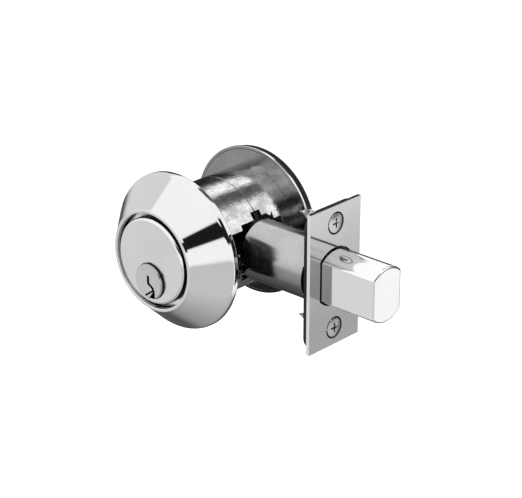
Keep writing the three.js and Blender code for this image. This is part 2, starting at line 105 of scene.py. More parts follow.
def spun(name, outline, segments=192, axis="Y", centre=(0, 0, 0), sharp=32):
    # turn an outline of (radius, height) round an axis; a radius of 0 closes on the axis
    verts, faces, rows = [], [], []
    for r, h in outline:
        if r < 1e-9:
            rows.append([len(verts)])
            verts.append((0, h, 0))
        else:
            rows.append(list(range(len(verts), len(verts) + segments)))
            for k in range(segments):
                a = 2 * math.pi * k / segments
                verts.append((r * math.cos(a), h, r * math.sin(a)))
    closed = outline[0][0] > 1e-9
    pairs = list(zip(rows, rows[1:])) + ([(rows[-1], rows[0])] if closed else [])
    for a, b in pairs:
        for k in range(segments):
            n = (k + 1) % segments
            if len(a) == 1 and len(b) == 1:
                continue
            if len(a) == 1:
                faces.append((a[0], b[k], b[n]))
            elif len(b) == 1:
                faces.append((a[k], b[0], a[n]))
            else:
                faces.append((a[k], b[k], b[n], a[n]))
    placed = []
    for x, y, z in verts:
        if axis == "X":
            x, y, z = y, -x, z
        elif axis == "Z":
            x, y, z = x, -z, y
        placed.append((x * mm + centre[0], y * mm + centre[1], z * mm + centre[2]))
    return tidyNormals(newMesh(name, placed, faces), sharp=sharp)


def slab(name, outline, low, high, axis="Y", centre=(0, 0, 0)):
    # carry a flat outline along an axis; outline is (x, z) for Y, (y, z) for X and (x, y) for Z
    count = len(outline)
    verts = []
    for h in (low, high):
        for a, b in outline:
            p = {"Y": (a, h, b), "X": (h, a, b), "Z": (a, b, h)}[axis]
            verts.append(tuple(p[i] * mm + centre[i] for i in range(3)))
    faces = [tuple(range(count)), tuple(range(2 * count - 1, count - 1, -1))]
    faces += [(k, k + count, (k + 1) % count + count, (k + 1) % count) for k in range(count)]
    return tidyNormals(newMesh(name, verts, faces))


def arcPoints(cx, cy, radius, start, end, steps):
    points = []
    for k in range(steps + 1):
        angle = math.radians(start + (end - start) * k / steps)
        points.append((cx + radius * math.cos(angle), cy + radius * math.sin(angle)))
    return points


def boreCutter(radius, low, high, axis="Y", centre=(0, 0, 0), segments=96):
    # a plain round cutter, longer than the hole that it cuts
    outline = [(0, low), (radius, low), (radius, high), (0, high)]
    return spun("bore", outline, segments, axis=axis, centre=centre)


def applied(obj):
    # bake the modifiers into the mesh
    graph = bpy.context.evaluated_depsgraph_get()
    graph.update()
    data = bpy.data.meshes.new_from_object(obj.evaluated_get(graph))
    obj.modifiers.clear()
    old = obj.data
    obj.data = data
    bpy.data.meshes.remove(old)
    return obj


def cutBy(obj, tools, operation="DIFFERENCE"):
    for tool in tools:
        step = obj.modifiers.new("cut", "BOOLEAN")
        step.object = tool
        step.operation = operation
        step.solver = "EXACT"
    applied(obj)
    for tool in tools:
        bpy.data.objects.remove(tool)
    return tidyNormals(obj, merge=2e-7)


def joined(name, parts):
    bm = bmesh.new()
    for part in parts:
        bm.from_mesh(part.data)
        bpy.data.objects.remove(part)
    data = bpy.data.meshes.new(name)
    bm.to_mesh(data)
    bm.free()
    obj = bpy.data.objects.new(name, data)
    studio.collection.objects.link(obj)
    return obj


def softEdges(obj, width, segments=3, angle=35):
    step = obj.modifiers.new("edges", "BEVEL")
    step.width = width * mm
    step.segments = segments
    step.limit_method = "ANGLE"
    step.angle_limit = math.radians(angle)
    step.use_clamp_overlap = True
    step.miter_outer = "MITER_ARC"
    applied(obj)
    return tidyNormals(obj, merge=2e-6, sharp=40)


def boxOf(node):
    low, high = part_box(node)
    return low / mm, high / mm


def finishPiece(obj, body, nodes, material):
    obj.data.materials.clear()
    obj.data.materials.append(material)
    for poly in obj.data.polygons:
        poly.material_index = 0
    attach(obj, body)
    if nodes:
        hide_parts(*nodes)
    return obj


def secondFinish(obj, material, chosen):
    # give the faces that "chosen" picks by middle and normal (in mm) their own finish
    obj.data.materials.append(material)
    for poly in obj.data.polygons:
        if chosen(poly.center / mm, poly.normal):
            poly.material_index = len(obj.data.materials) - 1


def weighted(obj):
    # flats keep flat reflections, fillets blend between them
    step = obj.modifiers.new("weights", "WEIGHTED_NORMAL")
    step.keep_sharp = True
    step.weight = 100
    return applied(obj)


# shader node groups that the metals share
def nodeGroup(name, inputs, outputs):
    tree = bpy.data.node_groups.new(name, "ShaderNodeTree")
    for label, kind, value in inputs:
        socket = tree.interface.new_socket(label, in_out="INPUT", socket_type="NodeSocket" + kind)
        socket.default_value = value
    for label, kind in outputs:
        tree.interface.new_socket(label, in_out="OUTPUT", socket_type="NodeSocket" + kind)
    return tree, tree.nodes.new("NodeGroupInput"), tree.nodes.new("NodeGroupOutput")


def addNode(tree, kind, inputs=None, **settings):
    node = tree.nodes.new("ShaderNode" + kind)
    for key, value in settings.items():
        setattr(node, key, value)
    for key, value in (inputs or {}).items():
        if isinstance(value, bpy.types.NodeSocket):
            tree.links.new(value, node.inputs[key])
        else:
            node.inputs[key].default_value = value
    return node


def rangeOf(tree, value, low, high, toLow=0.0, toHigh=1.0):
    node = addNode(tree, "MapRange", {0: value, 1: low, 2: high, 3: toLow, 4: toHigh})
    return node.outputs[0]


def buildGrainGroup():
    # directional grain: Stretch squeezes the noise along its long way
    tree, start, end = nodeGroup("grain", [
        ("Scale", "Float", 900.0), ("Stretch", "Vector", (1, 1, 1)), ("Low", "Float", 0.35),
        ("High", "Float", 0.65)], [("Value", "Float")])
    coord = addNode(tree, "TexCoord")
    scaled = addNode(tree, "VectorMath", {0: coord.outputs["Object"], 1: start.outputs["Stretch"]},
                     operation="MULTIPLY")
    noise = addNode(tree, "TexNoise", {"Vector": scaled.outputs[0], "Scale": start.outputs["Scale"],
                                       "Detail": 6.0, "Roughness": 0.6})
    ranged = rangeOf(tree, noise.outputs["Fac"], start.outputs["Low"], start.outputs["High"])
    tree.links.new(ranged, end.inputs["Value"])
    return tree


def buildHandlingGroup():
    # faint smears and hairline scratches left by handling
    tree, start, end = nodeGroup("handling", [
        ("Smear Scale", "Float", 60.0), ("Scratch Scale", "Float", 220.0)],
        [("Smear", "Float"), ("Scratch", "Float")])
    coord = addNode(tree, "TexCoord")
    smear = addNode(tree, "TexNoise", {
        "Vector": coord.outputs["Object"], "Scale": start.outputs["Smear Scale"], "Detail": 4.0,
        "Roughness": 0.55, "Distortion": 0.6})
    tree.links.new(rangeOf(tree, smear.outputs["Fac"], 0.42, 0.72), end.inputs["Smear"])
    bend = addNode(tree, "TexNoise", {"Vector": coord.outputs["Object"], "Scale": 35.0, "Detail": 2.0})
    bent = addNode(tree, "VectorMath", {0: bend.outputs["Color"], 1: (0.05, 0.05, 0.05),
                                        2: coord.outputs["Object"]}, operation="MULTIPLY_ADD")
    cells = addNode(tree, "TexVoronoi", {"Vector": bent.outputs[0], "Scale": start.outputs["Scratch Scale"]},
                    feature="DISTANCE_TO_EDGE")
    tree.links.new(rangeOf(tree, cells.outputs["Distance"], 0.0, 0.02, 1.0, 0.0), end.inputs["Scratch"])
    return tree


def buildBlotchGroup():
    # cloudy patches with a mottled edge, as on a tumbled casting
    tree, start, end = nodeGroup("blotch", [
        ("Scale", "Float", 45.0), ("Stretch", "Vector", (1, 1, 1)), ("Mottle", "Float", 0.35)],
        [("Mask", "Float")])
    coord = addNode(tree, "TexCoord")
    scaled = addNode(tree, "VectorMath", {0: coord.outputs["Object"], 1: start.outputs["Stretch"]},
                     operation="MULTIPLY")
    cloud = addNode(tree, "TexNoise", {"Vector": scaled.outputs[0], "Scale": start.outputs["Scale"],
                                       "Detail": 3.0, "Roughness": 0.5})
    speck = addNode(tree, "TexNoise", {"Vector": coord.outputs["Object"], "Scale": 1100.0, "Detail": 3.0})
    pull = addNode(tree, "Math", {0: speck.outputs["Fac"], 1: start.outputs["Mottle"]}, operation="MULTIPLY")
    total = addNode(tree, "Math", {0: cloud.outputs["Fac"], 1: pull.outputs[0]}, operation="ADD")
    tree.links.new(rangeOf(tree, total.outputs[0], 0.55, 0.8), end.inputs["Mask"])
    return tree


def buildPaintedShadeGroup():
    # 0 to 1 along a direction, with a wandering edge: the mask of every painted shade gradient
    tree, start, end = nodeGroup("paintedShadeRamp", [
        ("Direction", "Vector", (0, 0, 1)), ("Low", "Float", -0.02), ("High", "Float", 0.02),
        ("Wander", "Float", 0.0)], [("Value", "Float")])
    coord = addNode(tree, "TexCoord")
    along = addNode(tree, "VectorMath", {0: coord.outputs["Object"], 1: start.outputs["Direction"]},
                    operation="DOT_PRODUCT")
    cloud = addNode(tree, "TexNoise", {"Vector": coord.outputs["Object"], "Scale": 60.0, "Detail": 4.0,
                                       "Distortion": 1.2})
    centred = addNode(tree, "Math", {0: cloud.outputs["Fac"], 1: 0.5}, operation="SUBTRACT")
    total = addNode(tree, "Math", {0: centred.outputs[0], 1: start.outputs["Wander"],
                                   2: along.outputs["Value"]}, operation="MULTIPLY_ADD")
    ranged = addNode(tree, "MapRange", {0: total.outputs[0], 1: start.outputs["Low"],
                                        2: start.outputs["High"]}, interpolation_type="SMOOTHSTEP")
    tree.links.new(ranged.outputs[0], end.inputs["Value"])
    return tree


grainGroup = buildGrainGroup()
paintedShadeGroup = buildPaintedShadeGroup()
handlingGroup = buildHandlingGroup()
blotchGroup = buildBlotchGroup()


def useGroup(tree, group, **inputs):
    node = tree.nodes.new("ShaderNodeGroup")
    node.node_tree = group
    for key, value in inputs.items():
        node.inputs[key.replace("_", " ")].default_value = value
    return node


def mixTones(tree, factor, a, b, blend="MIX"):
    # the colour sockets of a Mix node are numbers 6 and 7, and its colour output is number 2
    return addNode(tree, "Mix", {0: factor, 6: a, 7: b}, data_type="RGBA", blend_type=blend).outputs[2]


# what a metal has unless its own dictionary says otherwise
plainLook = {"metallic": 1.0, "smearScale": 60.0, "scratchScale": 220.0, "scratchShade": 0.94,
             "scratchDepth": 0.2, "grainScale": 900.0, "stretch": (1, 1, 1), "grainLow": 0.35,
             "grainHigh": 0.65, "grainDepth": 0.3, "blotchScale": 45.0, "blotchStretch": (1, 1, 1),
             "mottle": 0.35, "grainRough": 0.3, "smearRough": 0.5, "patchRough": 0.2, "bump": 0.1,
             "bumpHeight": 0.00002}


def metal(name, ownLook):
    # one metal from a dictionary: tones, an optional painted shade gradient, roughness range, grain,
    # scratches and bump
    look = {**plainLook, **ownLook}
    material = bpy.data.materials.new(name)
    material.use_nodes = True
    tree = material.node_tree
    shader = tree.nodes["Principled BSDF"]
    shader.inputs["Metallic"].default_value = look["metallic"]
    handling = useGroup(tree, handlingGroup, Smear_Scale=look["smearScale"],
                        Scratch_Scale=look["scratchScale"])
    grain = useGroup(tree, grainGroup, Scale=look["grainScale"], Stretch=look["stretch"],
                     Low=look["grainLow"], High=look["grainHigh"])
    blotch = useGroup(tree, blotchGroup, Scale=look["blotchScale"], Stretch=look["blotchStretch"],
                      Mottle=look["mottle"])
    scratch, patch = handling.outputs["Scratch"], blotch.outputs["Mask"]
    tone = mixTones(tree, patch, (*look["tone"], 1), (*look["patchTone"], 1))
    # painted shade: where the dictionary asks for it, the tone fades to a darker one along a direction
    if "paintedShadeTone" in look:
        paintedShadeRamp = useGroup(tree, paintedShadeGroup, Direction=look["paintedShadeAlong"], Low=look["paintedShadeLow"],
                        High=look["paintedShadeHigh"], Wander=look["paintedShadeWander"])
        tone = mixTones(tree, paintedShadeRamp.outputs["Value"], tone, (*look["paintedShadeTone"], 1))
    shade = look["scratchShade"]
    fine = mixTones(tree, scratch, tone, (shade, shade, shade, 1), "MULTIPLY")
    tree.links.new(fine, shader.inputs["Base Color"])
    low, high = look["roughness"]
    byGrain = addNode(tree, "Math", {0: grain.outputs["Value"], 1: look["grainRough"]}, operation="MULTIPLY")
    bySmear = addNode(tree, "Math", {0: handling.outputs["Smear"], 1: look["smearRough"]},
                      operation="MULTIPLY")
    byPatch = addNode(tree, "Math", {0: patch, 1: look["patchRough"], 2: bySmear.outputs[0]},
                      operation="MULTIPLY_ADD")
    total = addNode(tree, "Math", {0: byGrain.outputs[0], 1: byPatch.outputs[0]}, operation="ADD")
    tree.links.new(rangeOf(tree, total.outputs[0], 0.0, 1.0, low, high), shader.inputs["Roughness"])
    cut = addNode(tree, "Math", {0: scratch, 1: -look["scratchDepth"]}, operation="MULTIPLY")
    raised = addNode(tree, "Math", {0: grain.outputs["Value"], 1: look["grainDepth"], 2: cut.outputs[0]},
                     operation="MULTIPLY_ADD")
    bump = addNode(tree, "Bump", {"Strength": look["bump"], "Distance": look["bumpHeight"],
                                  "Height": raised.outputs[0]})
    tree.links.new(bump.outputs["Normal"], shader.inputs["Normal"])
    return material


plugLook = {"tone": (0.68, 0.68, 0.68), "patchTone": (0.62, 0.62, 0.62),
            "roughness": (0.12, 0.22), "grainScale": 1500.0, "bump": 0.06, "bumpHeight": 0.00001}
chromeLook = {"tone": (0.80, 0.80, 0.80), "patchTone": (0.775, 0.775, 0.775),
              "roughness": (0.03, 0.07), "bump": 0.03, "bumpHeight": 0.000005, "blotchScale": 30.0}
faceLook = {"tone": (0.82, 0.82, 0.82), "patchTone": (0.79, 0.79, 0.79),
            "roughness": (0.12, 0.20), "grainScale": 1500.0, "bump": 0.05, "bumpHeight": 0.00001}
# the door plate darkens towards +X and downward, past a wandering edge: painted shade
doorPlateLook = {"tone": (0.33, 0.33, 0.33), "patchTone": (0.25, 0.25, 0.25),
                 "roughness": (0.10, 0.26), "grainScale": 1200.0, "bump": 0.12, "bumpHeight": 0.00003,
                 "paintedShadeTone": (0.014, 0.014, 0.014), "paintedShadeAlong": (0.75, 0, -0.66), "paintedShadeLow": 0.003,
                 "paintedShadeHigh": 0.019, "paintedShadeWander": 0.022}
# the sleeves darken on their upper side towards -X, about 20 mm out from the axis: painted shade
castLook = {"tone": (0.9, 0.9, 0.89), "patchTone": (0.5, 0.5, 0.5), "scratchShade": 0.85,
            "roughness": (0.09, 0.22), "grainScale": 900.0, "stretch": (1, 0.3, 1), "grainDepth": 1.0,
            "blotchScale": 200.0, "blotchStretch": (1, 0.6, 1), "mottle": 0.35, "bump": 0.35,
            "bumpHeight": 0.00006, "paintedShadeTone": (0.14, 0.14, 0.14), "paintedShadeAlong": (-0.5, 0, 0.85),
            "paintedShadeLow": 0.0192, "paintedShadeHigh": 0.0212, "paintedShadeWander": 0.008}
# the tube and the back plate darken towards their lower front side: painted shade
tubeLook = {"tone": (0.56, 0.56, 0.56), "patchTone": (0.46, 0.46, 0.46),
            "roughness": (0.12, 0.24), "grainScale": 1200.0, "stretch": (0.2, 1, 1), "bump": 0.15,
            "bumpHeight": 0.00003, "paintedShadeTone": (0.15, 0.15, 0.15), "paintedShadeAlong": (0, -0.45, -0.9),
            "paintedShadeLow": -0.002, "paintedShadeHigh": 0.011, "paintedShadeWander": 0.004}
# the faceplate darkens towards the bottom: painted shade
plateLook = {"tone": (0.58, 0.58, 0.58), "patchTone": (0.53, 0.53, 0.53),
             "roughness": (0.06, 0.12), "grainScale": 1500.0, "bump": 0.04, "bumpHeight": 0.00001,
             "paintedShadeTone": (0.34, 0.34, 0.34), "paintedShadeAlong": (0, 0, -1), "paintedShadeLow": -0.03, "paintedShadeHigh": 0.02,
             "paintedShadeWander": 0.008}
boltLook = {"tone": (0.90, 0.90, 0.90), "patchTone": (0.86, 0.86, 0.86),
            "roughness": (0.05, 0.11), "grainScale": 1500.0, "bump": 0.04, "bumpHeight": 0.00001}
# the screws darken towards the bottom, so the lower screw is the darker: painted shade
screwLook = {"tone": (0.64, 0.64, 0.64), "patchTone": (0.56, 0.56, 0.56),
             "roughness": (0.16, 0.32), "grainScale": 2500.0, "bump": 0.1, "bumpHeight": 0.00002,
             "paintedShadeTone": (0.42, 0.42, 0.42), "paintedShadeAlong": (0, 0, -1), "paintedShadeLow": -0.015, "paintedShadeHigh": 0.015,
             "paintedShadeWander": 0.002}
steelLook = {"tone": (0.52, 0.52, 0.525), "patchTone": (0.38, 0.38, 0.38),
             "roughness": (0.24, 0.42), "grainScale": 1800.0, "stretch": (0.3, 1, 1), "bump": 0.12,
             "bumpHeight": 0.00002}
darkSteelLook = {"tone": (0.26, 0.26, 0.265), "patchTone": (0.18, 0.18, 0.18),
                 "roughness": (0.28, 0.46), "grainScale": 1600.0, "bump": 0.12, "bumpHeight": 0.00002}
brassLook = {"tone": (0.78, 0.58, 0.26), "patchTone": (0.60, 0.42, 0.18),
             "roughness": (0.2, 0.38), "grainScale": 1800.0, "bump": 0.1, "bumpHeight": 0.00002}
shadeLook = {"tone": (0.05, 0.05, 0.05), "patchTone": (0.03, 0.03, 0.03),
             "roughness": (0.35, 0.6), "grainScale": 900.0, "bump": 0.15, "bumpHeight": 0.00003}
# a rough light grey that stands in for light on one side of the collar's gap: painted light
paintedLightWallLook = {"tone": (0.5, 0.5, 0.5), "patchTone": (0.42, 0.42, 0.42), "roughness": (0.5, 0.7),
            "grainScale": 1200.0, "metallic": 0.0, "bump": 0.1, "bumpHeight": 0.00002}
nylonLook = {"tone": (0.80, 0.79, 0.74), "patchTone": (0.76, 0.75, 0.70),
             "roughness": (0.45, 0.6), "grainScale": 1400.0, "metallic": 0.0, "bump": 0.12,
             "bumpHeight": 0.00003}

polishedChrome = metal("polishedChrome", chromeLook)
satinFace = metal("satinFace", faceLook)
plugChrome = metal("plugChrome", plugLook)
doorPlateMetal = metal("doorPlateMetal", doorPlateLook)
castZinc = metal("castZinc", castLook)
tubeSteel = metal("tubeSteel", tubeLook)
plateChrome = metal("plateChrome", plateLook)
boltChrome = metal("boltChrome", boltLook)
screwSteel = metal("screwSteel", screwLook)
platedSteel = metal("platedSteel", steelLook)
darkSteel = metal("darkSteel", darkSteelLook)
pinBrass = metal("pinBrass", brassLook)
shadeSteel = metal("shadeSteel", shadeLook)
washerNylon = metal("washerNylon", nylonLook)
dullZinc = metal("dullZinc", paintedLightWallLook)
print("materials ready")


# outside: the collar and the pieces inside it, then the cylinder and its plug
collarSizes = {"lipInner": 19.2, "lipWidth": 1.25, "lipStep": 0.85, "lipFillet": 0.5, "flankInner": 1.85,
               "shoulder": 2.57, "shoulderFillet": 3.6, "seatWidth": 3.35, "seatWall": 3.2,
               "lipDepth": 2.2, "recess": 1.4, "recessDepth": 3.1, "segments": 256}
# painted shade in the hollow, and a lighter painted strip on one side of the lip's inner wall
hollowShade = {"start": 0.5, "inward": -2, "backward": 0.6, "lightStripStart": 0.3, "lightStripEnd": 1.5,
               "lightStripSide": (-0.94, -0.34), "lightStripReach": 6}
insertSizes = {"bore": 18.95, "front": 21.2, "rim": 0.6, "fillet": 0.3, "segments": 160}
springSizes = {"bore": 19.35, "edge": 0.32, "sheet": 0.3, "segments": 160}


def makeCollar(s, shade):
    low, high = boxOf("collar")
    lip, seat, rim = low.y, high.y, high.x
    inner = s["lipInner"]
    outline = cornerArc([
        (rim - s["seatWidth"], seat, 0.3), (rim, seat, 0.5), (rim, seat - s["shoulder"], s["shoulderFillet"]),
        (inner + s["flankInner"], lip + s["lipStep"], 0.25), (inner + s["lipWidth"], lip, s["lipFillet"]),
        (inner, lip, 0.3), (inner, lip + shade["lightStripEnd"], 0), (inner, lip + s["lipDepth"], 0.1),
        (inner + s["recess"], lip + s["lipDepth"], 0.1), (inner + s["recess"], lip + s["recessDepth"], 0.5),
        (rim - s["seatWidth"], seat - s["seatWall"], 0.8)])
    shell = weighted(spun("collarShell", outline, s["segments"], sharp=50))
    finishPiece(shell, "collar", ["collar"], polishedChrome)

    def facesIn(c, n):
        return c.x * n.x + c.z * n.z < shade["inward"]

    def inHollow(c, n):
        return c.y > lip + shade["start"] and (facesIn(c, n) or n.y > shade["backward"])

    def onPaintedLightStrip(c, n):
        towardsSide = shade["lightStripSide"][0] * c.x + shade["lightStripSide"][1] * c.z > shade["lightStripReach"]
        return lip + shade["lightStripStart"] < c.y < lip + shade["lightStripEnd"] and facesIn(c, n) and towardsSide

    secondFinish(shell, shadeSteel, inHollow)
    # a lighter strip on one side of the lip's inner wall, in the shaded gap: painted light
    secondFinish(shell, dullZinc, onPaintedLightStrip)


def makeInsert(s):
    low, high = boxOf("collar_insert")
    fillet = s["fillet"]
    outline = cornerArc([(s["bore"], low.y, fillet), (s["front"], low.y, fillet),
                         (high.x, high.y - s["rim"], fillet), (high.x, high.y, fillet),
                         (s["bore"], high.y, fillet)])
    insert = weighted(spun("collarInsert", outline, s["segments"]))
    finishPiece(insert, "collar", ["collar_insert"], darkSteel)


def makeSpring(s):
    low, high = boxOf("collar_spring")
    outline = [(s["bore"], low.y), (high.x, high.y - s["edge"]), (high.x, high.y),
               (s["bore"], low.y + s["sheet"])]
    washer = weighted(spun("collarWasher", outline, s["segments"]))
    finishPiece(washer, "lock", ["collar_spring"], platedSteel)


cylinderSizes = {"edgeFillet": 1.3, "flange": 3.2, "plugBore": 7.38, "boreDepth": 1.5, "boreRadius": 6.42,
                 "barrelWall": 1.5, "barrelStart": 2.0, "towerHalf": 3.6, "towerTop": 12.0, "segments": 224}
# how deep the painted shade starts on the walls round the disc and in the plug's bore
cylinderShade = {"lead": 0.1, "boreStart": 0.2, "boreMargin": 0.2, "wallTilt": 0.7}
plugSizes = {"headRadius": 7.1, "headFillet": 0.35, "headDepth": 1.2, "edgeShade": 0.3, "footShade": 0.7,
             "bodyRadius": 6.35, "neckRadius": 4.2, "neckEnd": 0.6, "keywayStop": 1.2, "segments": 160}
keywaySizes = {"outline": [(-0.6, 2.7), (0.65, 2.7), (0.7, -0.2), (1.6, -0.75), (2.7, -1.5), (3.4, -2.6),
                           (3.6, -3.6), (3.6, -7.3), (-0.3, -7.3), (2.4, -3.85), (2.3, -3.6), (-1.3, -6.3),
                           (-1.8, -5.7), (2.1, -2.9), (1.8, -2.3), (1.0, -1.7), (-0.3, -1.1), (-0.6, -0.3)]}


def makeCylinder(s, shade, plugBody):
    low, high = boxOf("cylinder_shell")
    radius, face, back = high.x, low.y, high.y
    flangeBack = face + s["flange"]
    flange = spun("cylinderFace", cornerArc([(0, face, 0), (radius, face, s["edgeFillet"]),
                                            (radius, flangeBack, 0.2), (0, flangeBack, 0)], closed=False),
                  s["segments"], sharp=50)
    barrel = plugBody + s["barrelWall"]
    lift = math.degrees(math.asin(s["towerHalf"] / barrel))
    outline = arcPoints(0, plugZ, barrel, 90 + lift, 450 - lift, 60)
    outline += [(s["towerHalf"], s["towerTop"]), (-s["towerHalf"], s["towerTop"])]
    flange = cutBy(flange, [slab("barrel", outline, face + s["barrelStart"], back)], "UNION")
    centre = (0, 0, plugZ * mm)
    bores = [boreCutter(s["plugBore"], face - 1, face + s["boreDepth"], centre=centre, segments=128),
             boreCutter(s["boreRadius"], face - 1, back + 1, centre=centre, segments=128)]
    shell = weighted(softEdges(cutBy(flange, bores), 0.12, 2, 50))
    finishPiece(shell, "lock", ["cylinder_shell"], satinFace)

    def onWall(c, n):
        behindFillet = c.y > face + s["edgeFillet"] - shade["lead"] and abs(n.y) < shade["wallTilt"]
        nearAxis = math.hypot(c.x, c.z - plugZ) < s["plugBore"] + shade["boreMargin"]
        return behindFillet or (nearAxis and c.y > face + shade["boreStart"])

    secondFinish(shell, shadeSteel, onWall)
    return face, back


def makePlug(s, face, shellBack):
    low, high = boxOf("plug")
    front, neck, end = low.y, shellBack + 0.05, high.y - s["neckEnd"]
    foot = face - s["footShade"]
    headBack = face + s["headDepth"]
    outline = cornerArc([
        (0, front, 0), (s["headRadius"], front, s["headFillet"]), (s["headRadius"], foot, 0),
        (s["headRadius"], headBack, 0.1), (s["bodyRadius"], headBack, 0.1), (s["bodyRadius"], neck, 0.2),
        (s["neckRadius"], neck, 0.1), (s["neckRadius"], end, 0.1), (0, end, 0)], closed=False)
    centre = (0, 0, plugZ * mm)
    plug = spun("keyPlug", outline, s["segments"], centre=centre, sharp=50)
    way = slab("keyway", keywaySizes["outline"], front - 1, neck - s["keywayStop"], centre=centre)
    plug = weighted(softEdges(cutBy(plug, [way]), 0.09, 2, 50))
    finishPiece(plug, "plug", ["plug"], plugChrome)
    secondFinish(plug, shadeSteel, lambda c, n: c.y > foot and abs(n.y) < 0.5)
    # the head's rounded rim and side get a greyer finish: painted shade
    rim = s["headRadius"] - s["edgeShade"]
    secondFinish(plug, platedSteel, lambda c, n: c.y < foot and math.hypot(c.x, c.z - plugZ) > rim)


def midHeight(node):
    low, high = boxOf(node)
    return (low.z + high.z) / 2


plugZ = midHeight("plug_retainer")
makeCollar(collarSizes, hollowShade)
makeInsert(insertSizes)
makeSpring(springSizes)
diskFace, shellBack = makeCylinder(cylinderSizes, cylinderShade, plugSizes["bodyRadius"])
makePlug(plugSizes, diskFace, shellBack)
print("collar and cylinder made")


# the two sleeve halves, the door-face plate and the rose; windows are (y, z) steps of the upper half
sleeveSizes = {"wall": 2.7, "neckInner": 16.7, "neckOuter": 18.6, "neckLip": 20.3, "neckRing": 1.0,
               "shoulderDrop": 1.2, "web": 3.0, "endDrop": 3.1, "plateGap": 0.03, "spindleHole": 5.3,
               "outerWindow": [(-16.9, 9.8), (-8.7, 9.8), (-8.7, 11.7), (-1.6, 11.7), (-1.6, 14.35),
                               (3, 14.35)],
               "innerWindow": [(-2, 14.35), (3.4, 14.35), (3.4, 12.4), (6.0, 12.4), (7.6, 11.0), (9.0, 12.5),
                               (9.0, 9.8), (12.8, 9.8)],
               "rearHalf": 12.6, "rearDepth": 3.7, "edge": 0.16, "segments": 192}


def windowCutter(steps):
    lower = [(y, -z) for y, z in reversed(steps)]
    return slab("window", steps + lower, 13, 28, axis="X")


def blockCutter(x0, x1, y0, y1, z0, z1):
    return slab("blockCut", [(x0, z0), (x1, z0), (x1, z1), (x0, z1)], y0, y1)


def finishSleeve(sleeve, s, node, cutters):
    sleeve = weighted(softEdges(cutBy(sleeve, cutters), s["edge"], 2, 50))
    finishPiece(sleeve, "lock", [node], castZinc)


def rearCutter(s, low, high):
    return blockCutter(-26, -12, low, high, -s["rearHalf"], s["rearHalf"])


def makeSleeves(s):
    low, high = boxOf("outer_housing")
    outer, neckY, rear = high.x, low.y, high.y
    inner, neckInner = outer - s["wall"], s["neckInner"]
    flange = boxOf("collar")[1].y - s["shoulderDrop"]
    ringEnd, webEnd = neckY + s["neckRing"], flange + s["web"]
    outline = cornerArc([
        (neckInner, neckY, 0.2), (s["neckLip"], neckY, 0.3), (s["neckLip"], ringEnd, 0.2),
        (s["neckOuter"], ringEnd, 0.2), (s["neckOuter"], flange, 0.3), (outer, flange, 0.5),
        (outer, rear, 0.08), (inner, rear, 0.1), (inner, webEnd, 0.6), (neckInner, webEnd, 0.3)])
    sleeve = spun("outerSleeve", outline, s["segments"], sharp=50)
    rearCut = rearCutter(s, -s["rearDepth"], rear + 1)
    finishSleeve(sleeve, s, "outer_housing", [windowCutter(s["outerWindow"]), rearCut])

    low, high = boxOf("inner_housing")
    end = boxOf("mounting_plate")[0].y - s["plateGap"]
    hollowEnd = high.y - s["endDrop"]
    outline = cornerArc([(0, end, 0), (outer, end, 0.1), (outer, low.y, 0.08), (inner, low.y, 0.1),
                         (inner, hollowEnd, 0.6), (0, hollowEnd, 0)], closed=False)
    sleeve = spun("innerSleeve", outline, s["segments"], sharp=50)
    bore = boreCutter(s["spindleHole"], high.y - 5, high.y + 1, centre=(0, 0, turnZ * mm))
    rearCut = rearCutter(s, low.y - 1, s["rearDepth"])
    finishSleeve(sleeve, s, "inner_housing", [windowCutter(s["innerWindow"]), rearCut, bore])


doorPlateSizes = {"past": 0.15, "edge": 0.15, "hole": 5.6, "segments": 224}
roseSizes = {"rimWidth": 1.2, "rimHeight": 0.9, "rimFillet": 0.3, "sideHeight": 4.4, "sideInset": 0.75,
             "shoulder": 1.6, "shoulderInset": 3.0, "topInset": 10.0, "wall": 1.3, "hole": 6.2, "edge": 0.15,
             "segments": 256}


def makeDoorPlate(s):
    low, high = boxOf("mounting_plate")
    radius = high.x + s["past"]
    outline = cornerArc([(0, low.y, 0), (radius, low.y, s["edge"]), (radius, high.y, s["edge"]),
                         (0, high.y, 0)], closed=False)
    plate = spun("doorPlate", outline, s["segments"], sharp=50)
    bore = boreCutter(s["hole"], low.y - 1, high.y + 1, centre=(0, 0, turnZ * mm))
    plate = weighted(cutBy(plate, [bore]))
    finishPiece(plate, "lock", ["mounting_plate"], doorPlateMetal)


def makeRose(s):
    low, high = boxOf("inside_rose")
    seat, face, rim = low.y, high.y, high.x
    side, top, wall = seat + s["sideHeight"], rim - s["topInset"], s["wall"]
    outline = cornerArc([
        (rim - s["rimWidth"], seat, 0.15), (rim, seat, s["rimFillet"]), (rim, seat + s["rimHeight"], 0.6),
        (rim - s["sideInset"], side, 1.3), (rim - s["shoulderInset"], side + s["shoulder"], 2.4),
        (top, face, 2.2), (0, face, 0), (0, face - wall, 0), (top - 0.6, face - wall, 1.2),
        (rim - 3.1, seat + 4.5, 0.8), (rim - 2.1, seat + 3.8, 0.5), (rim - s["rimWidth"], seat + 1.9, 0.3)])
    rose = spun("insideRose", outline, s["segments"], sharp=50)
    hole = boreCutter(s["hole"], face - 4, face + 2, centre=(0, 0, turnZ * mm))
    rose = weighted(softEdges(cutBy(rose, [hole]), s["edge"], 2, 50))
    finishPiece(rose, "lock", ["inside_rose"], polishedChrome)
    secondFinish(rose, doorPlateMetal, lambda c, n: n.y < -0.8 and c.y < seat + 0.1)


turnSizes = {"baseRadius": 9.2, "neckRadius": 5.6, "neckHeight": 5.0, "hubTop": 6.5, "bladeStart": 3.2,
             "bladeEnd": 4.2, "bladeWaist": 3.3, "edge": 1.5, "shaft": 3.5, "shaftDepth": 8.2}
turnWasherSizes = {"inner": 5.4, "outer": 8.4, "segments": 128}


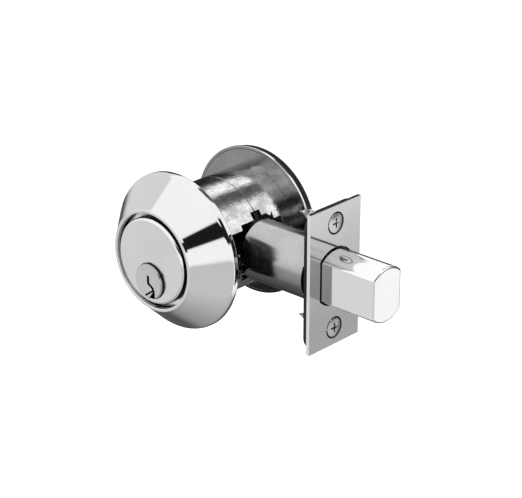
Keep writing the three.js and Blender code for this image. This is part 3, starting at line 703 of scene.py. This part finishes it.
def bladeOutline(s, reach):
    # round ends with a waist between them
    end, waist = s["bladeEnd"], s["bladeWaist"]
    middle = reach - end
    side = [middle * (1 - 2 * k / 20) for k in range(1, 20)]
    upper = [(x, waist + (end - waist) * (abs(x) / middle) ** 2) for x in side]
    lower = [(-x, -z) for x, z in upper]
    return arcPoints(middle, 0, end, -90, 90, 24) + upper + arcPoints(-middle, 0, end, 90, 270, 24) + lower


def makeThumbturn(s):
    low, high = boxOf("thumbturn")
    base, tip, reach = low.y, high.y, high.x
    centre = (0, 0, turnZ * mm)
    hub = spun("hub", cornerArc([
        (0, base, 0), (s["baseRadius"], base, 0.4), (s["baseRadius"], base + 0.7, 0.5),
        (6.0, base + 2.4, 2.5), (s["neckRadius"], base + s["neckHeight"], 2.0),
        (4.4, base + s["hubTop"], 0.5), (0, base + s["hubTop"], 0)], closed=False), 128, centre=centre)
    blade = slab("blade", bladeOutline(s, reach), base + s["bladeStart"], tip, centre=centre)
    blade = softEdges(blade, s["edge"], 5, 60)
    turn = cutBy(hub, [blade], "UNION")
    turn.name = "thumbTurn"
    shaft = boreCutter(s["shaft"], base - 1, base + s["shaftDepth"], centre=centre, segments=64)
    turn = weighted(cutBy(turn, [shaft]))
    finishPiece(turn, "turn", ["thumbturn"], polishedChrome)


def makeTurnWasher(s):
    low, high = boxOf("turn_washer")
    outline = cornerArc([(s["inner"], low.y, 0.1), (s["outer"], low.y, 0.2), (s["outer"], high.y, 0.2),
                         (s["inner"], high.y, 0.1)])
    washer = spun("turnWasher", outline, s["segments"], centre=(0, 0, turnZ * mm))
    finishPiece(weighted(washer), "lock", ["turn_washer"], washerNylon)


turnZ = midHeight("turn_spindle")
makeSleeves(sleeveSizes)
makeDoorPlate(doorPlateSizes)
makeRose(roseSizes)
makeThumbturn(turnSizes)
makeTurnWasher(turnWasherSizes)
print("sleeves, rose and thumbturn made")


# the bolt, its tube and the two edge plates
boltSizes = {"flat": 7.95, "radius": 11.1, "noseFillet": 1.3, "slotDepth": 8, "rodRadius": 3.15,
             "rodDrop": 3.6, "rodDepth": 26, "tailSlot": [(-2.5, 3.8), (2.5, 3.8), (2.5, 8.7), (-2.5, 8.7)]}


def boltSection(radius, flat, steps):
    lift = math.degrees(math.acos(flat / radius))
    over = arcPoints(0, 0, radius, lift, 180 - lift, steps)
    return over + arcPoints(0, 0, radius, 180 + lift, 360 - lift, steps)


def makeBolt(s):
    low, high = boxOf("bolt")
    bolt = slab("deadBolt", boltSection(s["radius"], s["flat"], 40), low.x, high.x, axis="X")
    bolt = softEdges(bolt, s["noseFillet"], 5, 60)
    slot = slab("slot", s["tailSlot"], low.x - 1, low.x + s["slotDepth"], axis="X")
    bore = boreCutter(s["rodRadius"], low.x - 1, low.x + s["rodDepth"], "X", (0, 0, -s["rodDrop"] * mm), 64)
    bolt = weighted(cutBy(bolt, [slot, bore]))
    finishPiece(bolt, "bolt", ["bolt"], boltChrome)


tubeSizes = {"wall": 0.75, "slotHalf": 5.5, "slotWidth": 1.8, "slotBack": 1.2, "slotReach": 3.2,
             "segments": 192}


def makeTube(s):
    low, high = boxOf("bolt_tube")
    outer, inner = high.z, high.z - s["wall"]
    outline = cornerArc([(inner, low.x, 0.12), (outer, low.x, 0.25), (outer, high.x, 0.15),
                         (inner, high.x, 0.12)])
    tube = spun("boltTube", outline, s["segments"], axis="X", sharp=50)
    slotEnd = boxOf("back_plate")[0].x - s["slotBack"]
    slot = blockCutter(slotEnd - s["slotWidth"], slotEnd, -outer - 2, -outer + s["slotReach"],
                       -s["slotHalf"], s["slotHalf"])
    tube = weighted(cutBy(tube, [slot]))
    finishPiece(tube, "lock", ["bolt_tube"], tubeSteel)


plateSizes = {"corner": 6.0, "clearance": 0.35, "tubeClearance": 0.3, "screwHole": 2.6, "sinkRadius": 4.5,
              "edge": 0.12}
faceHoleSizes = {"round": 0.3, "flat": 0.15}  # how much wider the faceplate's hole is than the back plate's


def screwPlaces():
    height = midHeight("face_screw_upper")
    return [(0, 0, height * mm), (0, 0, -height * mm)]


def makeBackPlate(s):
    low, high = boxOf("back_plate")
    halfW, halfH, c = high.y, high.z, s["corner"]
    outline = []
    for sy, sz, start in ((1, 1, 0), (-1, 1, 90), (-1, -1, 180), (1, -1, 270)):
        outline += arcPoints(sy * (halfW - c), sz * (halfH - c), c, start, start + 90, 16)
    plate = slab("backPlate", outline, low.x, high.x, axis="X")
    section = boltSection(boltSizes["radius"] + s["clearance"], boltSizes["flat"] + s["clearance"], 40)
    hole = slab("hole", section, low.x - 1, high.x + 1, axis="X")
    bores = [boreCutter(s["screwHole"], low.x - 1, high.x + 1, "X", place, 48) for place in screwPlaces()]
    tubeEnd = boxOf("bolt_tube")[1]
    bores.append(boreCutter(tubeEnd.z + s["tubeClearance"], low.x - 1, tubeEnd.x + s["tubeClearance"], "X",
                            segments=128))
    plate = weighted(softEdges(cutBy(plate, [hole] + bores), s["edge"], 2, 50))
    finishPiece(plate, "lock", ["back_plate"], tubeSteel)
    secondFinish(plate, shadeSteel, lambda c, n: n.y < -0.5 or n.x < -0.5)


def makeFacePlate(s):
    low, high = boxOf("face_plate")
    outline = [(low.y, low.z), (high.y, low.z), (high.y, high.z), (low.y, high.z)]
    plate = slab("facePlate", outline, low.x, high.x, axis="X")
    section = boltSection(boltSizes["radius"] + s["clearance"] + faceHoleSizes["round"],
                          boltSizes["flat"] + s["clearance"] + faceHoleSizes["flat"], 48)
    hole = slab("hole", section, low.x - 1, high.x + 1, axis="X")
    cone = [(0, low.x - 1), (s["screwHole"], low.x - 1), (s["screwHole"], low.x), (s["sinkRadius"], high.x),
            (s["sinkRadius"], high.x + 1), (0, high.x + 1)]
    sinks = [spun("sink", cone, 96, axis="X", centre=place) for place in screwPlaces()]
    plate = weighted(softEdges(cutBy(plate, [hole] + sinks), s["edge"], 2, 50))
    finishPiece(plate, "lock", ["face_plate"], plateChrome)
    screwZ = midHeight("face_screw_upper")

    def onCone(c, n):
        below = c.x < high.x - 0.01 and 0.2 < n.x < 0.95
        return below and math.hypot(c.y, abs(c.z) - screwZ) < s["sinkRadius"]

    # the faceplate's front side edge gets the brighter bolt chrome: a painted highlight
    secondFinish(plate, boltChrome, lambda c, n: n.y < -0.6 and c.y < low.y + 0.2)
    secondFinish(plate, shadeSteel, onCone)


makeBolt(boltSizes)
makeTube(tubeSizes)
makeBackPlate(plateSizes)
makeFacePlate(plateSizes)
print("bolt, tube and plates made")


# the faceplate's screws, with threads from a geometry tree
def buildThreadTree():
    # shank with a helical ridge: a swept wedge round a tapering spiral, joined to a plain core
    tree = bpy.data.node_groups.new("screwThread", "GeometryNodeTree")
    face = tree.interface
    face.new_socket("Geometry", in_out="INPUT", socket_type="NodeSocketGeometry")
    for label, value in (("Length", 0.0145), ("Core Radius", 0.0014), ("Outer Radius", 0.0021),
                         ("Pitch", 0.0013), ("Tip", 0.003)):
        socket = face.new_socket(label, in_out="INPUT", socket_type="NodeSocketFloat")
        socket.default_value = value
    face.new_socket("Material", in_out="INPUT", socket_type="NodeSocketMaterial")
    face.new_socket("Geometry", in_out="OUTPUT", socket_type="NodeSocketGeometry")

    def node(kind, inputs=None, **settings):
        made = tree.nodes.new(kind)
        for key, value in settings.items():
            setattr(made, key, value)
        for key, value in (inputs or {}).items():
            if isinstance(value, bpy.types.NodeSocket):
                tree.links.new(value, made.inputs[key])
            else:
                made.inputs[key].default_value = value
        return made

    def maths(operation, a, b=None, c=None):
        picked = {0: a}
        if b is not None:
            picked[1] = b
        if c is not None:
            picked[2] = c
        return node("ShaderNodeMath", picked, operation=operation).outputs[0]

    start = node("NodeGroupInput")
    end = node("NodeGroupOutput")
    length, core, outer = (start.outputs[k] for k in ("Length", "Core Radius", "Outer Radius"))
    pitch, tip = start.outputs["Pitch"], start.outputs["Tip"]
    turns = maths("DIVIDE", length, pitch)
    spiral = node("GeometryNodeCurveSpiral", {"Resolution": 26, "Rotations": turns, "Start Radius": core,
                                              "End Radius": core, "Height": length})
    place = node("GeometryNodeInputPosition")
    parts = node("ShaderNodeSeparateXYZ", {0: place.outputs[0]})
    fade = node("ShaderNodeMapRange", {0: parts.outputs["Z"], 1: maths("SUBTRACT", length, tip), 2: length,
                                       3: 1.0, 4: 0.12}, clamp=True)
    squeeze = node("ShaderNodeCombineXYZ", {0: maths("MULTIPLY", parts.outputs["X"], fade.outputs[0]),
                                            1: maths("MULTIPLY", parts.outputs["Y"], fade.outputs[0]),
                                            2: parts.outputs["Z"]})
    depth = maths("SUBTRACT", outer, core)
    wedge = node("GeometryNodeCurvePrimitiveCircle", {"Resolution": 3, "Radius": depth}, mode="RADIUS")
    thread = node("GeometryNodeCurveToMesh", {"Curve": spiral.outputs[0], "Profile Curve": wedge.outputs[0],
                                              "Fill Caps": True})
    ridge = node("GeometryNodeSetPosition", {"Geometry": thread.outputs[0], "Position": squeeze.outputs[0]})
    rod = node("GeometryNodeMeshCylinder", {"Vertices": 32, "Side Segments": 48,
                                            "Radius": maths("MULTIPLY", core, 1.12), "Depth": length})
    half = node("ShaderNodeCombineXYZ", {2: maths("MULTIPLY", length, 0.5)})
    lift = node("GeometryNodeTransform", {"Geometry": rod.outputs[0], "Translation": half.outputs[0]})
    shank = node("GeometryNodeSetPosition", {"Geometry": lift.outputs[0], "Position": squeeze.outputs[0]})
    both = node("GeometryNodeJoinGeometry")
    tree.links.new(ridge.outputs[0], both.inputs[0])
    tree.links.new(shank.outputs[0], both.inputs[0])
    solid = node("GeometryNodeRealizeInstances", {0: both.outputs[0]})
    painted = node("GeometryNodeSetMaterial", {"Geometry": solid.outputs[0],
                                               "Material": start.outputs["Material"]})
    tree.links.new(painted.outputs[0], end.inputs[0])
    return tree


threadTree = buildThreadTree()


def threadPart(name, values, material):
    data = bpy.data.meshes.new(name)
    obj = bpy.data.objects.new(name, data)
    studio.collection.objects.link(obj)
    step = obj.modifiers.new("thread", "NODES")
    step.node_group = threadTree
    names = {item.name: item.identifier for item in threadTree.interface.items_tree
             if item.item_type == "SOCKET" and item.in_out == "INPUT"}
    for key, value in {**values, "Material": material}.items():
        step[names[key]] = value
    return applied(obj)


faceScrewSizes = {"headRadius": 3.85, "rise": 0.35, "rim": 0.3, "headDepth": 1.9, "neck": 2.0, "neckEnd": 0.6,
                  "coreRadius": 1.35, "coreFlare": 1.1, "outerRadius": 2.05, "pitch": 1.45, "tip": 4.0,
                  "recess": 2.3, "recessHalf": 0.42, "recessDepth": 1.5}


def recessWing(s, length, width, head, z):
    # one of the two crossed wings of the driver recess, narrower towards its bottom
    longTaper, wideTaper = 0.45, 0.8
    bottomLength = length * (longTaper if length > width else wideTaper)
    bottomWidth = width * (longTaper if width > length else wideTaper)
    corners = ((-1, -1), (1, -1), (1, 1), (-1, 1))
    verts = [(head + s["rise"] + 0.5, sy * length, sz * width + z) for sy, sz in corners]
    verts += [(head - s["recessDepth"], sy * bottomLength, sz * bottomWidth + z) for sy, sz in corners]
    faces = [(0, 1, 2, 3), (7, 6, 5, 4), (0, 4, 5, 1), (1, 5, 6, 2), (2, 6, 7, 3), (3, 7, 4, 0)]
    return tidyNormals(newMesh("wing", [tuple(c * mm for c in v) for v in verts], faces))


def makeFaceScrew(node, name, s):
    low, high = boxOf(node)
    head, z, radius, rise = high.x, midHeight(node), s["headRadius"], s["rise"]
    bulge = (radius ** 2 + rise ** 2) / (2 * rise)
    dome = []
    for k in range(10):
        r = radius * k / 10
        dome.append((r, head + math.sqrt(bulge ** 2 - r ** 2) - bulge + rise, 0))
    shoulder = head - s["headDepth"]
    end = shoulder - s["neckEnd"]
    outline = cornerArc(dome + [
        (radius, head, 0.12), (radius - 0.1, head - s["rim"], 0.1), (s["neck"], shoulder, 0.2),
        (s["coreRadius"] * s["coreFlare"], end, 0.1), (0, end, 0)], closed=False)
    cap = spun("cap", outline, 96, axis="X", centre=(0, 0, z * mm), sharp=50)
    deep, half = s["recess"], s["recessHalf"]
    cap = cutBy(cap, [recessWing(s, deep, half, head, z), recessWing(s, half, deep, head, z)])
    start = shoulder - 0.4
    thread = threadPart("thread", {
        "Length": (start - low.x) * mm, "Core Radius": s["coreRadius"] * mm,
        "Outer Radius": s["outerRadius"] * mm, "Pitch": s["pitch"] * mm, "Tip": s["tip"] * mm}, screwSteel)
    place = Matrix.Translation((start * mm, 0, z * mm)) @ Matrix.Rotation(math.radians(-90), 4, "Y")
    thread.data.transform(place)
    screw = joined(name, [cap, thread])
    screw = weighted(tidyNormals(screw, sharp=40))
    finishPiece(screw, "lock", [node], screwSteel)


makeFaceScrew("face_screw_upper", "faceScrewUpper", faceScrewSizes)
makeFaceScrew("face_screw_lower", "faceScrewLower", faceScrewSizes)
print("screws made")


# the inner pieces keep their own solids and get a metal each
carried = {"platedSteel": ["plug_retainer", "cylinder_screw_left", "cylinder_screw_right",
                           "mounting_screw_upper", "mounting_screw_lower", "turn_spindle", "spindle_clip",
                           "tailpiece", "tube_end_cap", "case_side_out", "case_side_in", "case_rivet_rear",
                           "case_rivet_front", "cam", "bolt_pin", "bolt_tail"],
           "darkSteel": ["turn_set_screw", "bolt_roller"],
           "pinBrass": ["chamber_cover"]}
for k in range(1, 6):
    carried["platedSteel"] += [f"driver_pin_{k}", f"pin_spring_{k}"]
    carried["pinBrass"].append(f"key_pin_{k}")
for look, nodes in carried.items():
    for node in nodes:
        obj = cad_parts[node]
        obj.data.materials.clear()
        obj.data.materials.append(bpy.data.materials[look])
print("inner pieces finished")


# camera, studio and lights
cameraSizes = {"azimuth": 42.84, "elevation": 23.349, "distance": 0.712149, "across": 0.016443,
               "upward": -0.006171, "lens": 123.80, "sensor": 36.0}


def makeCamera(s):
    azimuth, elevation = math.radians(s["azimuth"]), math.radians(s["elevation"])
    back = Vector((math.sin(azimuth) * math.cos(elevation), -math.cos(azimuth) * math.cos(elevation),
                   math.sin(elevation)))
    across = Vector((0, 0, 1)).cross(back).normalized()
    upward = back.cross(across)
    data = bpy.data.cameras.new("camera")
    data.sensor_width = s["sensor"]
    data.sensor_fit = "HORIZONTAL"
    data.lens = s["lens"]
    data.clip_start, data.clip_end = 0.01, 10.0
    camera = bpy.data.objects.new("camera", data)
    studio.collection.objects.link(camera)
    place = back * s["distance"] + across * s["across"] + upward * s["upward"]
    turn = Matrix((across, upward, back)).transposed().to_4x4()
    camera.matrix_world = Matrix.Translation(place) @ turn
    studio.camera = camera


def flatMaterial(name, tone, strength=0.0):
    material = bpy.data.materials.new(name)
    material.use_nodes = True
    shader = material.node_tree.nodes["Principled BSDF"]
    shader.inputs["Base Color"].default_value = (*tone, 1)
    shader.inputs["Roughness"].default_value = 0.9
    shader.inputs["Specular IOR Level"].default_value = 0.0
    shader.inputs["Emission Color"].default_value = (1, 1, 1, 1)
    shader.inputs["Emission Strength"].default_value = strength
    return material


def onlyReflected(obj):
    # seen by reflections and by nothing else
    for kind in ("visible_camera", "visible_diffuse", "visible_shadow", "visible_transmission"):
        setattr(obj, kind, False)


def heading(azimuth, elevation):
    # a direction from the part: azimuth 0 is +Y and 90 is +X
    a, e = math.radians(azimuth), math.radians(elevation)
    return Vector((math.sin(a) * math.cos(e), math.cos(a) * math.cos(e), math.sin(e)))


# light and dark parts of the studio as the metal sees them, with soft edges in degrees
tentPatches = {
    "horizonRight": {"azimuths": (60, 200), "elevations": (-90, -9), "tone": 0.66, "soft": 2},
    "frontLow": {"azimuths": (-190, -95), "elevations": (-42, -8), "tone": 0.76, "soft": 12},
    "rightLow": {"azimuths": (30, 85), "elevations": (-50, -6), "tone": 1.05, "soft": 7},
    "leftGrey": {"azimuths": (-115, -60), "elevations": (-12, 44), "tone": 0.80, "soft": 3},
    "behindLow": {"azimuths": (-74, 26), "elevations": (-64, -8), "tone": 0.10, "soft": 20},
    "behindMid": {"azimuths": (-40, 25), "elevations": (-26, 33), "tone": 0.03, "soft": 6},
    "behind": {"azimuths": (-57, -34), "elevations": (-24, 30), "tone": 0.05, "soft": 6},
    "overhead": {"azimuths": (-17, 18), "elevations": (36, 66), "tone": 0.12, "soft": 7},
    "cameraSide": {"azimuths": (94, 156), "elevations": (17, 34), "tone": 0.012, "soft": 2},
    "farRight": {"azimuths": (68, 118), "elevations": (14, 48), "tone": 0.015, "soft": 4},
    "boltShade": {"azimuths": (28, 60), "elevations": (-14, 12), "tone": 0.08, "soft": 4}}
tentSizes = {"radius": 2.5, "base": 1.13, "horizon": -8, "horizonSoft": 8, "floorTone": 0.72,
             "sinkAzimuth": -55, "sinkElevation": -45, "sinkTone": 0.13, "sinkSpan": 95, "columns": 240,
             "rows": 120}


def smooth(value):
    value = max(0.0, min(1.0, value))
    return value * value * (3 - 2 * value)


def patchCover(azimuth, elevation, patch):
    # 1 inside the patch, 0 outside it; one that reaches straight down has no lower edge
    left, right = patch["azimuths"]
    bottom, top = patch["elevations"]
    soft = patch["soft"]
    offset = (azimuth - (left + right) / 2 + 180) % 360 - 180
    sideways = (right - left) / 2 - abs(offset)
    fromBottom = elevation - bottom + (soft if bottom == -90 else 0)
    upright = min(fromBottom, top - elevation)
    return smooth(sideways / soft + 0.5) * smooth(upright / soft + 0.5)


def tentTone(azimuth, elevation, s):
    # the studio's light walls and its floor, darker towards the sink, then the patches over them
    tone = s["base"]
    sink = heading(s["sinkAzimuth"], s["sinkElevation"])
    toSink = math.degrees(heading(azimuth, elevation).angle(sink))
    low = s["sinkTone"] + (s["floorTone"] - s["sinkTone"]) * min(1.0, toSink / s["sinkSpan"])
    tone += (low - tone) * smooth((s["horizon"] - elevation) / s["horizonSoft"] + 0.5)
    for name, patch in tentPatches.items():
        patchTone = min(patch["tone"], low) if name == "horizonRight" else patch["tone"]
        tone += (patchTone - tone) * patchCover(azimuth, elevation, patch)
    return tone


def makeTent(s):
    # a big ball round the part; its tone is worked out at each corner of its mesh
    verts, faces, tones = [], [], []
    cols, rows = s["columns"], s["rows"]
    for j in range(rows + 1):
        for i in range(cols):
            a, e = -180 + 360 * i / cols, -90 + 180 * j / rows
            verts.append(tuple(heading(a, e) * s["radius"]))
            tones.append(tentTone(a, e, s))
    for j in range(rows):
        for i in range(cols):
            n = (i + 1) % cols
            faces.append((j * cols + i, j * cols + n, (j + 1) * cols + n, (j + 1) * cols + i))
    data = bpy.data.meshes.new("tent")
    data.from_pydata(verts, [], faces)
    data.attributes.new("tone", "FLOAT", "POINT").data.foreach_set("value", tones)
    tent = bpy.data.objects.new("tent", data)
    studio.collection.objects.link(tent)
    material = bpy.data.materials.new("tentCloth")
    material.use_nodes = True
    tree = material.node_tree
    tree.nodes.clear()
    spread = addNode(tree, "Attribute", attribute_name="tone")
    glow = addNode(tree, "Emission", {"Color": (1, 1, 1, 1), "Strength": spread.outputs["Fac"]})
    out = addNode(tree, "OutputMaterial")
    tree.links.new(glow.outputs[0], out.inputs["Surface"])
    data.materials.append(material)
    onlyReflected(tent)


# small bright cards close to the part: one keeps the bolt's rounded top light, one the collar's far rim
cardSizes = {"boltCard": {"corner": (0.044, 0.036, 0.0145), "across": (0.036, 0, 0), "tall": 0.0455,
                          "tone": 1.1},
             "rimCard": {"corner": (-0.068, 0.0, -0.045), "across": (0.0235, 0.0218, 0), "tall": 0.053,
                         "tone": 0.55}}


def makeCard(name, s):
    corner, across, up = Vector(s["corner"]), Vector(s["across"]), Vector((0, 0, s["tall"]))
    card = newMesh(name, [corner, corner + across, corner + across + up, corner + up], [(0, 1, 2, 3)])
    card.data.materials.append(flatMaterial(name + "Cloth", (0, 0, 0), s["tone"]))
    onlyReflected(card)


lamps = {"keyLamp": {"azimuth": -150, "elevation": 55, "distance": 1.2, "size": 0.7, "power": 8},
         "fillLamp": {"azimuth": 60, "elevation": 40, "distance": 1.4, "size": 0.9, "power": 4}}


def areaLight(name, s):
    data = bpy.data.lights.new(name, "AREA")
    data.shape = "DISK"
    data.size = s["size"]
    data.energy = s["power"]
    lamp = bpy.data.objects.new(name, data)
    studio.collection.objects.link(lamp)
    lamp.location = heading(s["azimuth"], s["elevation"]) * s["distance"]
    lamp.rotation_euler = (-lamp.location).to_track_quat("-Z", "Y").to_euler()
    lamp.visible_camera = False
    lamp.visible_glossy = False


def makeWorld(strengthSeen, strengthLit):
    world = bpy.data.worlds.new("world")
    studio.world = world
    world.use_nodes = True
    tree = world.node_tree
    ground = tree.nodes["Background"]
    ground.inputs["Color"].default_value = (1, 1, 1, 1)
    path = addNode(tree, "LightPath")
    seen = addNode(tree, "Math", {0: path.outputs["Is Camera Ray"], 1: path.outputs["Is Glossy Ray"]},
                   operation="MAXIMUM")
    total = addNode(tree, "Math", {0: seen.outputs[0], 1: path.outputs["Is Transmission Ray"]},
                    operation="MAXIMUM")
    strength = rangeOf(tree, total.outputs[0], 0, 1, strengthLit, strengthSeen)
    tree.links.new(strength, ground.inputs["Strength"])


studioSizes = {"floorHeight": -0.25, "floorReach": 6.0, "floorTone": 0.9, "floorGlow": 0.3, "seen": 1.0,
               "lit": 0.8}


def makeFloor(s):
    h, d = s["floorReach"], s["floorHeight"]
    floor = newMesh("floor", [(-h, -h, d), (h, -h, d), (h, h, d), (-h, h, d)], [(0, 1, 2, 3)])
    floor.data.materials.append(flatMaterial("floorPaint", (s["floorTone"],) * 3, s["floorGlow"]))
    floor.visible_glossy = False


makeCamera(cameraSizes)
makeWorld(studioSizes["seen"], studioSizes["lit"])
makeFloor(studioSizes)
for name, sizes in cardSizes.items():
    makeCard(name, sizes)
for name, sizes in lamps.items():
    areaLight(name, sizes)
makeTent(tentSizes)
print("studio ready")
